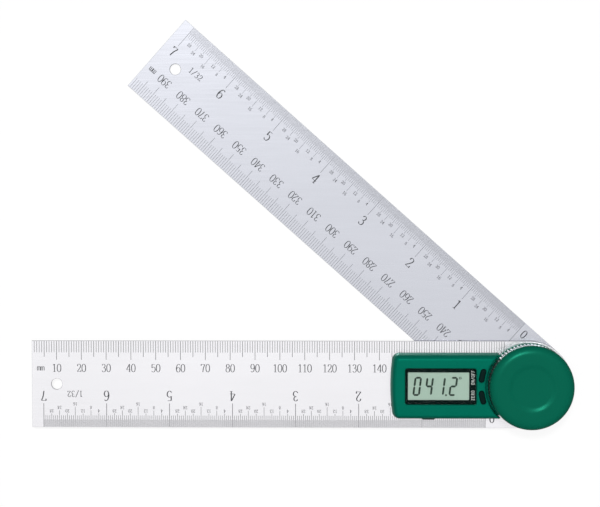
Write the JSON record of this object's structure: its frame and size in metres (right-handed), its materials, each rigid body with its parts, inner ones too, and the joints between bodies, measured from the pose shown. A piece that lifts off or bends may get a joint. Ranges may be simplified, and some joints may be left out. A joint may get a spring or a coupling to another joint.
{
  "type": "angle finder with arms",
  "caption": "Digital angle rule: graduated steel rules turning on one pivot, with a green display housing, kidney buttons, a battery tray and a knurled lock knob.",
  "frame": {"origin": "on the pivot axis, at the swing rule's back face, which is the part's flat back", "axes": "+Z along the pivot axis from the flat back towards the lock knob; -X along the base rule from the pivot to its square end; the swing rule is opened 41.7 degrees clockwise, seen from +Z, from the base rule"},
  "size_m": [0.2175, 0.1635, 0.0154],
  "materials": {
    "rule_steel": "satin stainless steel, lengthwise grain",
    "stud_steel": "fine turned steel",
    "bearing_brass": "turned brass",
    "plated_metal": "satin nickel plating, straight knurl",
    "screw_steel": "zinc plated",
    "spring_steel": "bright rolled strip",
    "green_plastic": "satin moulded, fine grain",
    "black_plastic": "satin moulded",
    "button_rubber": "matt silicone rubber",
    "slip_plastic": "smooth, natural colour",
    "board_green": "green solder resist over copper",
    "chip_black": "moulded package",
    "zebra_rubber": "layered conductive rubber",
    "window_clear": "clear plastic with a black printed border",
    "lcd_glass": "grey-green liquid crystal glass",
    "cell_steel": "bright nickel-plated can"
  },
  "bodies": {
    "base": {"base_rule": "rule_steel", "glide_washer": "slip_plastic", "pivot_bush": "bearing_brass", "housing": "green_plastic", "display_window": "window_clear", "lcd_panel": "lcd_glass", "lcd_frame": "black_plastic", "zebra_strip_upper": "zebra_rubber", "zebra_strip_lower": "zebra_rubber", "circuit_board": "board_green", "sensor_board": "board_green", "board_link": "black_plastic", "controller_chip": "chip_black", "switch_dome_on_off": "spring_steel", "switch_dome_zero": "spring_steel", "battery_cradle": "black_plastic", "contact_positive": "spring_steel", "contact_negative": "spring_steel", "housing_screw_1": "screw_steel", "housing_screw_2": "screw_steel", "housing_screw_3": "screw_steel", "housing_screw_4": "screw_steel", "board_screw_1": "screw_steel", "board_screw_2": "screw_steel"},
    "swing_arm": {"swing_rule": "rule_steel", "pivot_stud": "stud_steel", "rotor_hub": "bearing_brass", "rotor_disc": "board_green", "wave_spring": "spring_steel", "stop_washer": "screw_steel", "stop_screw": "screw_steel"},
    "clamp_washer": {"clamp_washer": "screw_steel"},
    "lock_knob": {"knob_nut": "plated_metal", "knob_cap": "green_plastic"},
    "button_on_off": {"button_on_off": "button_rubber"},
    "button_zero": {"button_zero": "button_rubber"},
    "battery_tray": {"battery_tray": "black_plastic", "coin_cell": "cell_steel"}
  },
  "joints": [
    {"name": "arm_swing", "type": "hinge", "parent": "base", "child": "swing_arm", "pos_m": [0, 0, 0], "axis": [0, 0, -1], "continuous": true},
    {"name": "knob_lift", "type": "slide", "parent": "swing_arm", "child": "clamp_washer", "axis": [0, 0, 1], "range_m": [0, 0.00057], "deforming": ["wave_spring"]},
    {"name": "knob_turn", "type": "hinge", "parent": "clamp_washer", "child": "lock_knob", "pos_m": [0, 0, 0.0094], "axis": [0, 0, 1], "range_deg": [0, 270]},
    {"name": "press_on_off", "type": "slide", "parent": "base", "child": "button_on_off", "axis": [0, 0, -1], "range_m": [0, 0.0003], "stiffness_N_per_m": 2000},
    {"name": "press_zero", "type": "slide", "parent": "base", "child": "button_zero", "axis": [0, 0, -1], "range_m": [0, 0.0003], "stiffness_N_per_m": 2000},
    {"name": "tray_slide", "type": "slide", "parent": "base", "child": "battery_tray", "axis": [0, -1, 0], "range_m": [0, 0.018]}
  ],
  "couplings": [
    {"joint": "knob_lift", "follows": "knob_turn", "m_per_rad": 0.00011937}
  ]
}
